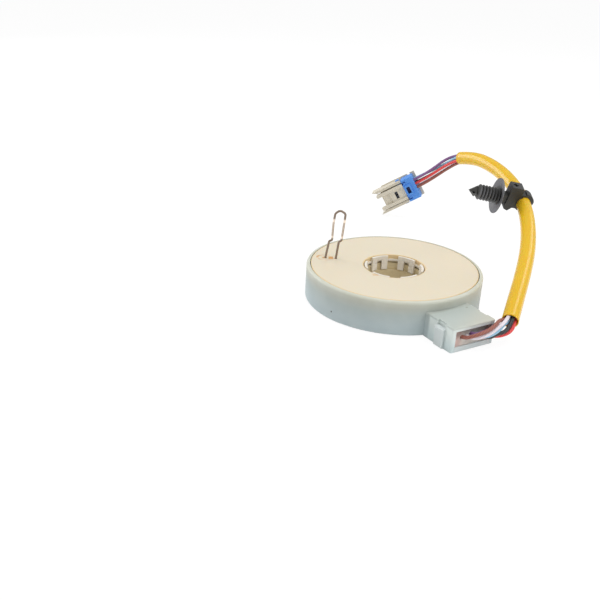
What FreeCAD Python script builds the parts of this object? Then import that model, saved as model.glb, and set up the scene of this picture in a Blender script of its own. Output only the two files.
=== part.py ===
import FreeCAD, Part
import math
import os

os.makedirs("parts", exist_ok=True)

# A torque sensor for a steering column. The Z axis is the shaft axis, Z = 0 is the housing's
# underside, and the cable block stands out towards +X. All sizes are in millimetres.

# Housing: a shallow round cup, open at the top, with a hollow block for the cable.
outer_radius = 39.3
housing_height = 15.0
rim_wall = 1.6
rim_round = 1.1
foot_round = 0.5
floor_thickness = 1.5
bearing_wall = 2.6
bearing_height = 3.6
hook_well_depth = 1.3
hook_well_wall = 1.4

# Cable block, with a plate that closes its underside and is held by two snap straps.
block_length = 15.7
block_width = 22.0
block_height = 10.7
block_wall = 1.8
block_roof = 1.7
block_round = 0.9
wall_slot_width = 15.6
wall_slot_bottom = 2.5
wall_slot_height = 5.0
cover_thickness = 2.1
cover_gap = 0.1
strap_width = 5.0
strap_thickness = 1.9
strap_height = 8.7
strap_setback = 4.6
strap_recess = 1.0
strap_head = 0.45
catch_width = 3.0
catch_height = 1.4
catch_depth = 0.7

# Output rotor: hub round the lower shaft, flange for the track board, collar for the grip ring.
shaft_radius = 12.5
hub_wall = 1.8
hub_drop = 5.0
hook_reach = 1.0
hook_height = 1.1
hook_slot_width = 2.4
hook_slot_height = 5.2
hook_count = 4
shoulder_wall = 3.9
flange_thickness = 1.4
flange_margin = 3.0
collar_gap = 1.1
collar_wall = 0.9
board_thickness = 0.8
wiper_room = 2.6
board_inner_wall = 3.6
board_margin = 0.8

# Input rotor: the cream disc that closes the cup, with a skirt that turns on the collar.
disc_thickness = 2.0
disc_hole_radius = 13.7
disc_edge_round = 0.3
disc_gap = 0.3
skirt_wall = 1.7
running_gap = 0.15
pin_boss_radius = 2.2
pin_boss_gap = 0.5

# Grip ring: six spring fingers round the upper shaft, on a collar under the disc.
grip_radius = 12.25
grip_wall = 1.0
finger_count = 6
finger_span = 38.0
finger_leg = 13.0
finger_turn = 56.0
finger_top_gap = 0.2
finger_bottom_gap = 0.4
finger_bridge = 1.7
grip_groove = 0.12
grip_groove_height = 0.25
grip_collar_height = 0.8

# Wipers: a carrier plate under the disc, and leaf springs that slide on the track board.
carrier_thickness = 1.1
carrier_span = 70.0
carrier_turn = 150.0
wiper_count = 4
wiper_width = 1.4
wiper_thickness = 0.2
wiper_length = 7.0
wiper_gap = 0.08

# Ribbon cable: a spiral of flat cable between the turning hub and the housing.
ribbon_room_above = 1.1
ribbon_room_below = 0.6
ribbon_thickness = 0.35
ribbon_turns = 4
ribbon_gap = 0.9

# Lock pin: a bent spring wire that stands in the disc and holds the rotors in mid travel.
pin_diameter = 1.0
pin_clearance = 0.1
pin_spacing = 4.74
pin_setback = 8.42
pin_angle = -132.07
pin_heading = 54.6
pin_depth = 3.8
# Places along the pin's own plane: sideways from the middle of the two legs, above the disc, and
# the round of the bend there.
pin_bends = [
    (-2.37, 0.4, 1.5),
    (-1.15, 8.1, 0.6),
    (0.1, 8.75, 0.7),
    (0.3, 16.6, 4.0),
    (0.85, 21.3, 1.5),
    (2.95, 22.95, 2.0),
    (5.45, 21.5, 1.5),
    (5.05, 16.9, 4.0),
    (4.35, 8.9, 0.7),
    (3.2, 8.05, 0.6),
    (2.37, 0.4, 1.5),
]

# Wires, potting and block terminals.
wire_diameter = 1.55
wire_names = ("brown", "white", "violet", "blue", "black", "red")
wire_pitch = 2.3
wire_levels = (5.9, 6.0, 6.6, 5.5, 5.5, 5.5)
wire_straight = 55.8
potting_setback = 0.6
comb_thickness = 2.0
comb_inset = 4.5
terminal_width = 1.2
terminal_thickness = 0.3
terminal_lap = 1.8

# Sleeve round the six wires. Its route is the line that the photograph shows.
sleeve_diameter = 7.0
sleeve_bore = 6.3
ring_radius = 1.98
ring_twist = -166.0
ring_start = (-0.77, -0.64, 0.06)
arc_share = 0.45
sleeve_route = [
    (55.4, 18.6, 8.4),
    (51.4, 23.5, 10.2),
    (44.1, 32.6, 13.4),
    (36.7, 41.8, 16.7),
    (26.0, 54.3, 21.5),
    (14.1, 65.8, 26.7),
    (0.8, 75.9, 31.8),
    (-13.1, 83.6, 36.0),
    (-28.6, 89.1, 39.5),
    (-44.3, 92.3, 41.5),
    (-59.1, 93.8, 41.4),
    (-69.4, 93.5, 38.7),
]
# Where each wire lies in the sleeve at each point of its route: one of six places round the
# middle, counted anticlockwise along the route, or 0 for the middle itself. Brown, white and
# black change places on the way.
ring_places = {
    "violet": (1, 1, 1, 1, 1, 1, 1, 1, 1, 1, 1, 1),
    "blue": (0, 0, 2, 2, 2, 2, 2, 2, 2, 2, 2, 2),
    "red": (3, 3, 3, 3, 3, 3, 3, 3, 3, 3, 3, 3),
    "black": (4, 4, 4, 0, 0, 6, 6, 6, 6, 6, 6, 6),
    "white": (5, 5, 5, 5, 4, 4, 0, 0, 5, 5, 5, 5),
    "brown": (6, 6, 6, 6, 5, 5, 5, 4, 4, 4, 4, 4),
}
# Points of each wire between the block and the sleeve, and between the sleeve and the connector.
block_side_route = {
    "brown": [(58.2, -2.4, 7.5), (59.3, 2.4, 8.9), (58.6, 7.2, 10.0), (55.8, 12.2, 10.4)],
    "white": [(57.9, -0.7, 5.9), (59.2, 2.6, 7.0), (59.0, 6.0, 7.7), (58.3, 9.3, 8.6), (57.7, 13.0, 9.9)],
    "violet": [(57.0, 1.5, 7.2), (56.9, 6.0, 7.7), (56.1, 11.0, 7.9)],
    "blue": [(58.1, 3.7, 5.7), (58.5, 7.2, 6.4), (58.0, 10.8, 7.3), (56.8, 13.6, 8.5)],
    "black": [(57.7, 6.5, 4.4), (57.6, 10.0, 5.4), (59.1, 13.6, 6.4)],
    "red": [(56.1, 9.2, 3.9), (57.8, 12.6, 4.1), (59.2, 16.2, 5.9)],
}
connector_side_route = {
    "violet": [(-77.5, 90.5, 36.9), (-82.1, 84.4, 29.8)],
    "blue": [(-77.5, 90.2, 33.8), (-84.1, 86.0, 28.5)],
    "red": [(-76.0, 88.8, 33.2), (-81.3, 84.3, 27.2)],
    "brown": [(-75.7, 90.6, 31.5), (-80.6, 85.5, 25.4)],
    "white": [(-76.7, 92.8, 32.1), (-82.3, 87.6, 25.6)],
    "black": [(-77.3, 93.5, 34.4), (-83.1, 88.1, 27.6)],
}

# Connector on the wires' far end. L runs from the wires to the mating end, W across it
# and T through it, towards its ribbed face.
connector_place = (-91.85, 81.2, 19.2)
connector_length_axis = (-0.546, -0.653, -0.525)
connector_width_axis = (0.353, 0.387, -0.852)
connector_length = 24.0
connector_body_width = 9.7
connector_thickness = 8.0
connector_plate = 1.2
connector_plate_width = 15.1
connector_plate_back = 2.7
connector_plate_front = 18.4
plate_notch = 1.6
rail_gap = 0.65
rail_width = 1.5
rail_height = 7.4
rail_start = 5.9
rail_point = 2.8
rail_round = 1.2
rib_width = 1.9
rib_height = 0.8
rib_setback = 1.8
rib_round = 0.6
tongue_setback = 4.5
channel_depth = 0.8
channel_length = 4.8
cavity_columns = 4
cavity_pitch = 2.35
cavity_row_pitch = 2.9
cavity_size = 1.9
connector_window = (1.8, 4.2)
connector_window_place = 11.0
window_depth = 1.6
contact_size = 1.6
contact_length = 10.5
contact_crimp_length = 3.2
contact_wall = 0.3
wire_run_in = 4.5

# Blue terminal lock at the connector's wire end.
lock_length = 6.9
lock_overhang = 1.25
lock_width = 13.6
lock_top = 8.9
lock_round = 0.5
lock_gap = 0.15
lock_wire_hole = 2.0
lock_frame = (3.8, 6.3, 0.9)
lock_frame_window = (2.1, 3.9)
lock_frame_setback = 0.5
lock_slot = (2.4, 0.8, 1.5)
lock_slot_arm = 1.3
lock_arm_length = 3.2
lock_arm_width = 0.55
lock_arm_height = 2.4
lock_nub = 2.0
lock_nub_reach = 0.5
lock_travel = 1.5

# Fir-tree tie: one moulding with a strap round the sleeve, a head, a dished washer and a finned
# stem with a pointed end.
tie_run_number = 6
tie_stem_axis = (-0.492, -0.846, 0.203)
tie_strap_width = 4.8
tie_strap_thickness = 0.9
tie_sleeve_gap = 0.08
tie_tail_thickness = 0.7
tie_tail_sweep = 118.0
tie_tail_point = 6.0
tie_head_width = 6.0
tie_head_height = 13.0
tie_head_thickness = 4.0
tie_head_offset = 1.2
tie_lock_height = 3.8
tie_lock_reach = 2.6
tie_cross_size = 2.7
tie_cross_arm = 1.0
tie_cross_depth = 1.6
tie_neck_width = 4.6
tie_neck_length = 2.6
washer_radius = 8.7
washer_thickness = 0.7
washer_dish = 1.5
stem_length = 16.0
stem_radius = 1.8
fin_count = 7
fin_radius = 3.8
fin_thickness = 0.4
fin_sweep = 1.7
stem_tip_length = 3.6
stem_tip_width = 6.4
stem_tip_hole = 1.1

# Places that follow from the sizes above.
rim_inner = outer_radius - rim_wall
hub_outer = shaft_radius + hub_wall
bearing_inner = hub_outer + running_gap
shoulder_radius = shaft_radius + shoulder_wall
collar_inner = hub_outer - collar_wall
disc_radius = rim_inner - disc_gap
disc_underside = housing_height - disc_thickness
board_top = disc_underside - wiper_room
flange_top = board_top - board_thickness
flange_underside = flange_top - flange_thickness
collar_top = disc_underside - grip_collar_height - collar_gap
hub_top = disc_underside - hub_drop
pin_radius = disc_radius - pin_setback
skirt_inner = hub_outer + running_gap
board_inner = hub_outer + board_inner_wall
flange_radius = rim_inner - flange_margin
board_outer = flange_radius - board_margin
block_end = outer_radius + block_length
cavity_top = block_height - block_roof
cavity_half_width = block_width / 2 - block_wall
cavity_start = outer_radius + 1.0
strap_end = block_end - strap_setback
strap_start = strap_end - strap_width
potting_face = block_end - potting_setback
comb_back = block_end - comb_inset - comb_thickness
wire_start = comb_back + comb_thickness + 0.9
ribbon_bottom = floor_thickness + ribbon_room_below
ribbon_top = flange_underside - ribbon_room_above
ribbon_inner = shoulder_radius + ribbon_gap
ribbon_outer = rim_inner - ribbon_gap - ribbon_thickness
ribbon_step = (ribbon_outer - ribbon_inner) / (2 * ribbon_turns)
ribbon_end = wall_slot_width / 2 - 1.0


def at(x, y, z):
    return FreeCAD.Vector(x, y, z)


UP = at(0, 0, 1)


def outline(corners, place):
    """A closed wire through corners of (a, b, round radius). place turns (a, b) into a point."""
    points = [place(a, b) for a, b, _ in corners]
    stretches = []
    for i, (_, _, radius) in enumerate(corners):
        here = points[i]
        if not radius:
            stretches.append((here, None, here))
            continue
        back = (points[i - 1] - here).normalize()
        ahead = (points[(i + 1) % len(points)] - here).normalize()
        half = back.getAngle(ahead) / 2
        middle = (back + ahead).normalize()
        centre = here + middle * (radius / math.sin(half))
        reach = radius / math.tan(half)
        stretches.append((here + back * reach, centre - middle * radius, here + ahead * reach))
    edges = []
    for (_, _, leave), (arrive, bulge, depart) in zip(stretches[-1:] + stretches, stretches):
        if leave.distanceToPoint(arrive) > 1e-6:
            edges.append(Part.LineSegment(leave, arrive).toShape())
        if bulge is not None:
            edges.append(Part.Arc(arrive, bulge, depart).toShape())
    return Part.Wire(edges)


def turned(corners, angle=360.0):
    """A solid turned about the Z axis from an outline of (radius, height, round radius)."""
    section = Part.Face(outline(corners, lambda radius, height: at(radius, 0, height)))
    return section.revolve(at(0, 0, 0), UP, angle)


def slab(corners, bottom, top):
    """A flat solid between two heights, from a plan outline of (x, y, round radius)."""
    return Part.Face(outline(corners, lambda x, y: at(x, y, bottom))).extrude(UP * (top - bottom))


def box(low, high):
    size = [b - a for a, b in zip(low, high)]
    return Part.makeBox(*size, at(*low))


def ring(inner, outer, bottom, top):
    return turned([(inner, bottom, 0), (outer, bottom, 0), (outer, top, 0), (inner, top, 0)])


def sector(inner, outer, bottom, top, start, span):
    """A part of a ring, from an angle in degrees and over a span."""
    corners = [(inner, bottom, 0), (outer, bottom, 0), (outer, top, 0), (inner, top, 0)]
    piece = turned(corners, span)
    piece.rotate(at(0, 0, 0), UP, start)
    return piece


def around(shape, count, start=0.0):
    """Copies of a shape, evenly turned about the Z axis."""
    copies = []
    for i in range(count):
        copy = shape.copy()
        copy.rotate(at(0, 0, 0), UP, start + i * 360.0 / count)
        copies.append(copy)
    return copies


def path(points, bends=None):
    """Straight runs joined by arcs that touch both runs, and the smallest radius used."""
    edges = []
    leave = points[0]
    smallest = math.inf
    for i in range(1, len(points) - 1):
        here = points[i]
        back, ahead = points[i - 1] - here, points[i + 1] - here
        half_turn = (math.pi - back.getAngle(ahead)) / 2
        radius = arc_share * min(back.Length, ahead.Length) / math.tan(half_turn)
        if bends:
            radius = min(radius, bends[i - 1])
        smallest = min(smallest, radius)
        back.normalize()
        ahead.normalize()
        reach = radius * math.tan(half_turn)
        middle = (back + ahead).normalize()
        bulge = here + middle * (radius / math.cos(half_turn) - radius)
        arrive, depart = here + back * reach, here + ahead * reach
        edges.append(Part.LineSegment(leave, arrive).toShape())
        edges.append(Part.Arc(arrive, bulge, depart).toShape())
        leave = depart
    edges.append(Part.LineSegment(leave, points[-1]).toShape())
    return Part.Wire(edges), smallest


def rod(points, diameter, bends=None, bore=0.0):
    """A round rod, or a tube where it has a bore, along a route of points."""
    line, smallest = path(points, bends)
    heading = points[1] - points[0]
    solids = []
    for size in (diameter, bore):
        if size:
            circle = Part.Wire(Part.makeCircle(size / 2, points[0], heading))
            solids.append(line.makePipeShell([circle], True, False))
    solid = solids[0].cut(solids[1]) if bore else solids[0]
    return solid, line.Length, smallest


def write(shape, node):
    shape.exportStep("parts/" + node + ".step")


# Housing
def block_outline():
    half = block_width / 2
    return [
        (outer_radius - rim_wall, -half, 0),
        (block_end, -half, block_round),
        (block_end, half, block_round),
        (outer_radius - rim_wall, half, 0),
    ]


def strap_room(side):
    """The recess in the block's side wall for one strap, and the gap under the wall for its tab."""
    face = block_width / 2
    gap = cover_gap
    recess = box(
        (strap_start - gap, face - strap_recess, -1),
        (strap_end + gap, face + 1, block_height + 1),
    )
    passage = box(
        (strap_start - gap, cavity_half_width - 1, -1),
        (strap_end + gap, face + 1, cover_thickness + gap),
    )
    room = recess.fuse(passage)
    if side < 0:
        room = room.mirror(at(0, 0, 0), at(0, 1, 0))
    return room


def strap_catch(side):
    """The wedge on the block's side wall that a strap snaps over."""
    middle = (strap_start + strap_end) / 2
    root = block_width / 2 - strap_recess
    top = strap_height - 1.6
    corners = [
        (root - 0.3, top - catch_height, 0),
        (root, top - catch_height, 0),
        (root + catch_depth, top, 0),
        (root - 0.3, top, 0),
    ]
    left = middle - catch_width / 2
    wedge = Part.Face(outline(corners, lambda y, z: at(left, y, z))).extrude(at(catch_width, 0, 0))
    if side < 0:
        wedge = wedge.mirror(at(0, 0, 0), at(0, 1, 0))
    return wedge


def housing_shell():
    well_radius = hub_outer + hook_reach + hook_well_wall - 0.5
    cup = turned([
        (well_radius, 0, 0),
        (outer_radius, 0, foot_round),
        (outer_radius, housing_height, rim_round),
        (rim_inner, housing_height, 0),
        (rim_inner, floor_thickness, foot_round),
        (bearing_inner + bearing_wall, floor_thickness, 0),
        (bearing_inner + bearing_wall, bearing_height, 0),
        (bearing_inner, bearing_height, 0),
        (bearing_inner, hook_well_depth, 0),
        (well_radius, hook_well_depth, 0),
    ])
    block = slab(block_outline(), 0, block_height)
    block = block.cut(Part.makeCylinder(rim_inner + 0.1, housing_height, at(0, 0, 0)))
    top_edges = [
        edge for edge in block.Edges
        if abs(edge.BoundBox.ZMin - block_height) < 1e-6
        and abs(edge.BoundBox.ZMax - block_height) < 1e-6
        and edge.BoundBox.XMax > outer_radius
        and edge.BoundBox.XMin > rim_inner + 0.2 - block_wall
        and edge.Curve.TypeId != "Part::GeomCircle"
    ]
    block = block.makeFillet(block_round * 0.6, top_edges)
    shell = cup.fuse(block)
    cavity = box(
        (cavity_start, -cavity_half_width, -1),
        (block_end + 1, cavity_half_width, cavity_top),
    )
    wall_slot = box(
        (rim_inner - 3, -wall_slot_width / 2, wall_slot_bottom),
        (cavity_start + 1, wall_slot_width / 2, wall_slot_bottom + wall_slot_height),
    )
    shell = shell.cut([cavity, wall_slot, strap_room(1), strap_room(-1)])
    return shell.fuse([strap_catch(1), strap_catch(-1)]).removeSplitter()


def block_cover():
    gap = cover_gap
    plate = box(
        (cavity_start + gap, -cavity_half_width + gap, 0),
        (block_end, cavity_half_width - gap, cover_thickness),
    )
    root = block_width / 2 - strap_recess + gap
    face = root + strap_thickness
    middle = (strap_start + strap_end) / 2
    window_top = strap_height - 1.6 + gap
    strap_section = [
        (cavity_half_width - 1, 0, 0),
        (face, 0, 0.4),
        (face, strap_height - 1.4, 0),
        (face + strap_head, strap_height - 0.9, 0),
        (face + strap_head, strap_height - 0.4, 0),
        (face - 0.4, strap_height, 0),
        (root, strap_height, 0),
        (root, cover_thickness, 0),
        (cavity_half_width - 1, cover_thickness, 0),
    ]
    section = outline(strap_section, lambda y, z: at(strap_start, y, z))
    strap = Part.Face(section).extrude(at(strap_width, 0, 0))
    window = box(
        (middle - catch_width / 2 - gap, root - 1, window_top - catch_height - 2 * gap),
        (middle + catch_width / 2 + gap, root + catch_depth, window_top),
    )
    strap = strap.cut(window)
    return plate.fuse([strap, strap.mirror(at(0, 0, 0), at(0, 1, 0))]).removeSplitter()


# Rotors
def output_rotor():
    flange_root = shoulder_radius
    body = turned([
        (shaft_radius, 0, 0.4),
        (hub_outer, 0, 0),
        (hub_outer, bearing_height + running_gap, 0),
        (flange_root, bearing_height + running_gap, 0),
        (flange_root, flange_underside, 0),
        (flange_radius, flange_underside, 0),
        (flange_radius, flange_top, 0),
        (hub_outer, flange_top, 0),
        (hub_outer, collar_top, 0),
        (collar_inner, collar_top, 0),
        (collar_inner, hub_top, 0),
        (shaft_radius, hub_top, 0.3),
    ])
    hooks = turned([
        (hub_outer - 0.5, 0, 0),
        (hub_outer + 0.2, 0, 0),
        (hub_outer + hook_reach, hook_height * 0.5, 0),
        (hub_outer + hook_reach, hook_height, 0),
        (hub_outer - 0.5, hook_height, 0),
    ])
    body = body.fuse(hooks)
    slot = box(
        (0, -hook_slot_width / 2, -1),
        (shoulder_radius - 0.3, hook_slot_width / 2, hook_slot_height - hook_slot_width),
    )
    return body.cut(around(slot, hook_count, 45.0)).removeSplitter()


def track_board():
    return ring(board_inner, board_outer, flange_top, board_top)


def pin_line(sideways, height):
    """A point in the lock pin's own upright plane."""
    heading, angle = math.radians(pin_heading), math.radians(pin_angle)
    x = pin_radius * math.cos(angle) + sideways * math.cos(heading)
    y = pin_radius * math.sin(angle) + sideways * math.sin(heading)
    return at(x, y, height)


def input_rotor():
    skirt_outer = skirt_inner + skirt_wall
    body = turned([
        (disc_hole_radius, disc_underside, 0),
        (skirt_inner, disc_underside, 0),
        (skirt_inner, flange_top + running_gap, 0),
        (skirt_outer, flange_top + running_gap, 0),
        (skirt_outer, disc_underside, 0.6),
        (disc_radius, disc_underside, 0),
        (disc_radius, housing_height, disc_edge_round),
        (disc_hole_radius, housing_height, disc_edge_round),
    ])
    boss_foot = board_top + pin_boss_gap
    tops = [pin_line(side * pin_spacing / 2, boss_foot) for side in (-1, 1)]
    height = disc_underside + 0.2 - boss_foot
    bosses = [Part.makeCylinder(pin_boss_radius, height, top) for top in tops]
    body = body.fuse(bosses)
    hole_radius = pin_diameter / 2 + pin_clearance
    foot = housing_height - pin_depth - 0.2
    holes = []
    for side in (-1, 1):
        place = pin_line(side * pin_spacing / 2, foot)
        holes.append(Part.makeCylinder(hole_radius, housing_height - foot + 1, place))
    return body.cut(holes).removeSplitter()


def shaft_grip_ring():
    collar_outer = skirt_inner - 0.05
    collar_bottom = disc_underside - grip_collar_height
    outer = grip_radius + grip_wall
    collar = ring(outer - 0.1, collar_outer, collar_bottom, disc_underside)
    top = housing_height - finger_top_gap
    bottom = hub_top + finger_bottom_gap
    leg_angles = (0.0, finger_span - finger_leg)
    pieces = [sector(grip_radius, outer, top - finger_bridge, top, 0.0, finger_span)]
    for angle in leg_angles:
        pieces.append(sector(grip_radius, outer, bottom, top, angle, finger_leg))
    finger = pieces[0].fuse(pieces[1:]).removeSplitter()
    fingers = around(finger, finger_count, finger_turn - finger_span / 2)
    body = collar.fuse(fingers)
    levels = (bottom + 1.4, bottom + 3.0)
    grooves = []
    for level in levels:
        inner, depth = grip_radius - 1, grip_radius + grip_groove
        grooves.append(ring(inner, depth, level, level + grip_groove_height))
    return body.cut(grooves).removeSplitter()


def wiper_radii():
    step = (board_outer - board_inner) / wiper_count
    return [board_inner + step * (i + 0.5) for i in range(wiper_count)]


def wiper_carrier():
    inner = board_inner + 0.5
    outer = board_outer - 0.5
    bottom = disc_underside - carrier_thickness
    start = carrier_turn - carrier_span / 2
    return sector(inner, outer, bottom, disc_underside, start, carrier_span)


def wiper_springs():
    """Bent leaf springs, one to each track, with their tips just over the board."""
    seat = disc_underside - carrier_thickness
    tip = board_top + wiper_gap
    thick = wiper_thickness
    section = [
        (-wiper_length / 2, seat - thick, 0),
        (-wiper_length / 6, seat - thick, 0),
        (wiper_length / 3, tip, 0),
        (wiper_length / 2, tip + 3 * thick, 0),
        (wiper_length / 2, tip + 4 * thick, 0),
        (wiper_length / 3, tip + thick, 0),
        (-wiper_length / 6, seat, 0),
        (-wiper_length / 2, seat, 0),
    ]
    springs = []
    for radius in wiper_radii():
        left = radius - wiper_width / 2
        leaf = Part.Face(outline(section, lambda y, z: at(left, y, z)))
        leaf = leaf.extrude(at(wiper_width, 0, 0))
        leaf.rotate(at(0, 0, 0), UP, carrier_turn)
        springs.append(leaf)
    return Part.makeCompound(springs)


def ribbon_cable():
    """A flat cable wound in half circles that grow outwards, with a straight end at the block."""
    bottom = ribbon_bottom

    def face(offset):
        edges = []
        for half_turn in range(2 * ribbon_turns):
            radius = ribbon_inner + offset + half_turn * ribbon_step
            middle = ribbon_step * (half_turn % 2)
            sign = 1 - 2 * (half_turn % 2)
            start = at(middle + sign * radius, 0, bottom)
            bulge = at(middle, sign * radius, bottom)
            end = at(middle - sign * radius, 0, bottom)
            edges.append(Part.Arc(start, bulge, end).toShape())
        edges.append(Part.LineSegment(end, end + at(0, ribbon_end, 0)).toShape())
        return edges

    near, far = face(0.0), face(ribbon_thickness)
    width = at(ribbon_thickness, 0, 0)
    ends = []
    for point in (near[0].Vertexes[0].Point, near[-1].Vertexes[-1].Point):
        ends.append(Part.LineSegment(point, point + width).toShape())
    loop = Part.Wire(Part.__sortEdges__(near + far + ends))
    return Part.Face(loop).extrude(UP * (ribbon_top - ribbon_bottom))


def lock_pin():
    foot = (pin_spacing / 2, -pin_depth)
    flat = [(-foot[0], foot[1])] + [bend[:2] for bend in pin_bends] + [foot]
    points = [pin_line(sideways, housing_height + above) for sideways, above in flat]
    return rod(points, pin_diameter, [bend[2] for bend in pin_bends])


# Harness
def wire_exit(index):
    return (index - (len(wire_names) - 1) / 2) * wire_pitch


def block_terminals():
    """Flat strips, one to each wire, soldered to the ribbon inside and to the wire outside."""
    end = wire_start + terminal_lap
    last_radius = ribbon_outer + ribbon_thickness - ribbon_step
    strips = []
    for index in range(len(wire_names)):
        y = wire_exit(index)
        top = wire_levels[index] - wire_diameter / 2
        inside = min(y + terminal_width / 2, 0)
        start = ribbon_step + math.sqrt(last_radius ** 2 - inside ** 2)
        strips.append(box(
            (start, y - terminal_width / 2, top - terminal_thickness),
            (end, y + terminal_width / 2, top),
        ))
    return strips


def terminal_comb():
    """A bar across the block's cavity that keeps the terminals apart."""
    gap = cover_gap
    bar = box(
        (comb_back, -cavity_half_width + gap, cover_thickness + gap),
        (comb_back + comb_thickness, cavity_half_width - gap, cavity_top - gap),
    )
    return bar.cut(block_terminals())


def potting(wires):
    """Clear resin that fills the block from the comb to just inside its mouth."""
    fill = box(
        (comb_back + comb_thickness, -cavity_half_width, cover_thickness),
        (potting_face, cavity_half_width, cavity_top),
    )
    return fill.cut(block_terminals() + wires)


def offset_route(places):
    """The sleeve's route moved to a wire's places round its middle, mitred at each point."""
    route = [at(*p) for p in sleeve_route]
    runs = [(b - a).normalize() for a, b in zip(route, route[1:])]
    first = at(*ring_start)
    first = (first - runs[0] * first.dot(runs[0])).normalize()
    seams = [first]
    for before, after in zip(runs, runs[1:]):
        turn = FreeCAD.Rotation(before, after)
        seams.append(turn.multVec(seams[-1]))
    moved = []
    for i, here in enumerate(route):
        run = runs[max(i - 1, 0)]
        seam = seams[max(i - 1, 0)]
        if places[i] == 0:
            moved.append(here)
            continue
        angle = math.radians(60 * places[i] + ring_twist * i / (len(route) - 1))
        side = run.cross(seam)
        offset = (seam * math.cos(angle) - side * math.sin(angle)) * ring_radius
        if 0 < i < len(route) - 1:
            ahead = runs[i]
            axis = run.cross(ahead).normalize()
            across = axis.cross(run)
            bisector = across + axis.cross(ahead)
            share = offset.dot(across) / (1 + run.dot(ahead))
            offset = axis * offset.dot(axis) + bisector * share
        moved.append(here + offset)
    return moved


def connector_frame():
    """The connector's own placement, from its length and width directions."""
    along = at(*connector_length_axis).normalize()
    across = at(*connector_width_axis)
    across = (across - along * across.dot(along)).normalize()
    through = along.cross(across)
    return FreeCAD.Placement(at(*connector_place), FreeCAD.Rotation(along, across, through, "XYZ"))


# Row (towards the ribbed face or behind it) and column of each wire's way in the connector. The
# last way of each row is empty.
wire_ways = {
    "violet": (1, 0), "red": (1, 1), "brown": (1, 2),
    "blue": (-1, 0), "black": (-1, 1), "white": (-1, 2),
}


def way_place(row, column):
    across = (column - (cavity_columns - 1) / 2) * cavity_pitch
    return across, way_middle() + row * cavity_row_pitch / 2


def way_centre(name):
    return way_place(*wire_ways[name])


def wire_route(name):
    index = wire_names.index(name)
    side, level = wire_exit(index), wire_levels[index]
    start = [at(wire_start, side, level), at(wire_straight, side, level)]
    near = [at(*p) for p in block_side_route[name]]
    inside = offset_route(ring_places[name])
    frame = connector_frame()
    across, through = way_centre(name)
    ends = [frame.multVec(at(l, across, through)) for l in (-wire_run_in, contact_start())]
    far = [at(*p) for p in connector_side_route[name]]
    return start + near + inside + far + ends


def way_middle():
    return connector_plate + (connector_thickness - connector_plate) / 2


def contact_start():
    return lock_length - lock_overhang + 1.8


def yellow_sleeve():
    return rod([at(*p) for p in sleeve_route], sleeve_diameter, bore=sleeve_bore)


# Connector
def connector_housing():
    half = connector_body_width / 2
    rear = lock_length - lock_overhang + lock_gap
    tongue_end = connector_length - tongue_setback
    rib_end = connector_length - rib_setback
    top = connector_thickness
    body = box((rear, -half, 0), (tongue_end, half, top))
    pieces = []
    plate_half = connector_plate_width / 2
    plate_corners = [
        (-connector_plate_back, -plate_half, 0.3),
        (connector_plate_front, -plate_half, 0.3),
        (connector_plate_front, plate_half, 0.3),
        (-connector_plate_back, plate_half, 0.3),
    ]
    plate = slab(plate_corners, 0, connector_plate)
    notch = box((0, -plate_half - 1, -1), (plate_notch, plate_notch - plate_half, connector_plate + 1))
    pieces.append(plate.cut(notch))
    rail_inner = half + rail_gap
    rail_outer = rail_inner + rail_width
    for side in (-1, 1):
        rib = [
            (rear, half - rib_width, 0),
            (rear, half, 0),
            (rib_end, half, rib_round),
            (rib_end, half - rib_width, rib_round),
        ]
        rail = [
            (rail_start, rail_inner, 0),
            (connector_length - rail_point, rail_inner, 0),
            (connector_length, rail_outer, 0),
            (rail_start, rail_outer, rail_round),
        ]
        rib = slab(rib, top - 3 * rib_height, top + rib_height)
        rail = slab(rail, 0, rail_height)
        web = box((rail_start, half - 0.5, 0), (tongue_end, rail_inner + 0.3, connector_plate))
        for piece in (rib, rail, web):
            pieces.append(piece if side > 0 else piece.mirror(at(0, 0, 0), at(0, 1, 0)))
    body = body.fuse(pieces)
    cuts = []
    inner = half - rib_width
    cuts.append(box(
        (tongue_end - channel_length, -inner, top - channel_depth),
        (connector_length, inner, top + 1),
    ))
    window_long, window_across = connector_window
    cuts.append(box(
        (connector_window_place - window_long / 2, -window_across / 2, top - window_depth),
        (connector_window_place + window_long / 2, window_across / 2, top + 1),
    ))
    hole = cavity_size / 2
    for row in (-1, 1):
        for column in range(cavity_columns):
            across, through = way_place(row, column)
            cuts.append(box(
                (rear - 1, across - hole, through - hole),
                (connector_length, across + hole, through + hole),
            ))
    nub_room = lock_arm_height / 2 + lock_gap
    nub_start = lock_arm_end() - lock_nub - lock_travel - lock_gap
    for side in (-1, 1):
        low, high = sorted(((rail_inner - 0.2) * side, (rail_outer + 1) * side))
        cuts.append(box(
            (nub_start, low, way_middle() - nub_room),
            (lock_arm_end() + lock_gap, high, way_middle() + nub_room),
        ))
    body = body.cut(cuts).removeSplitter()
    body.Placement = connector_frame()
    return body


def connector_terminals():
    """A crimped tube round each wire, open from the crimp to the mating end."""
    start = contact_start()
    contacts = []
    for name in wire_names:
        across, through = way_centre(name)
        half = contact_size / 2
        bore = half - contact_wall
        shell = box(
            (start + 0.05, across - half, through - half),
            (start + contact_length, across + half, through + half),
        )
        entry = box(
            (start + contact_crimp_length, across - bore, through - bore),
            (start + contact_length + 1, across + bore, through + bore),
        )
        contacts.append(shell.cut(entry))
    group = Part.makeCompound(contacts)
    group.Placement = connector_frame()
    return group


def lock_arm_end():
    return lock_length - lock_overhang + lock_arm_length


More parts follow.
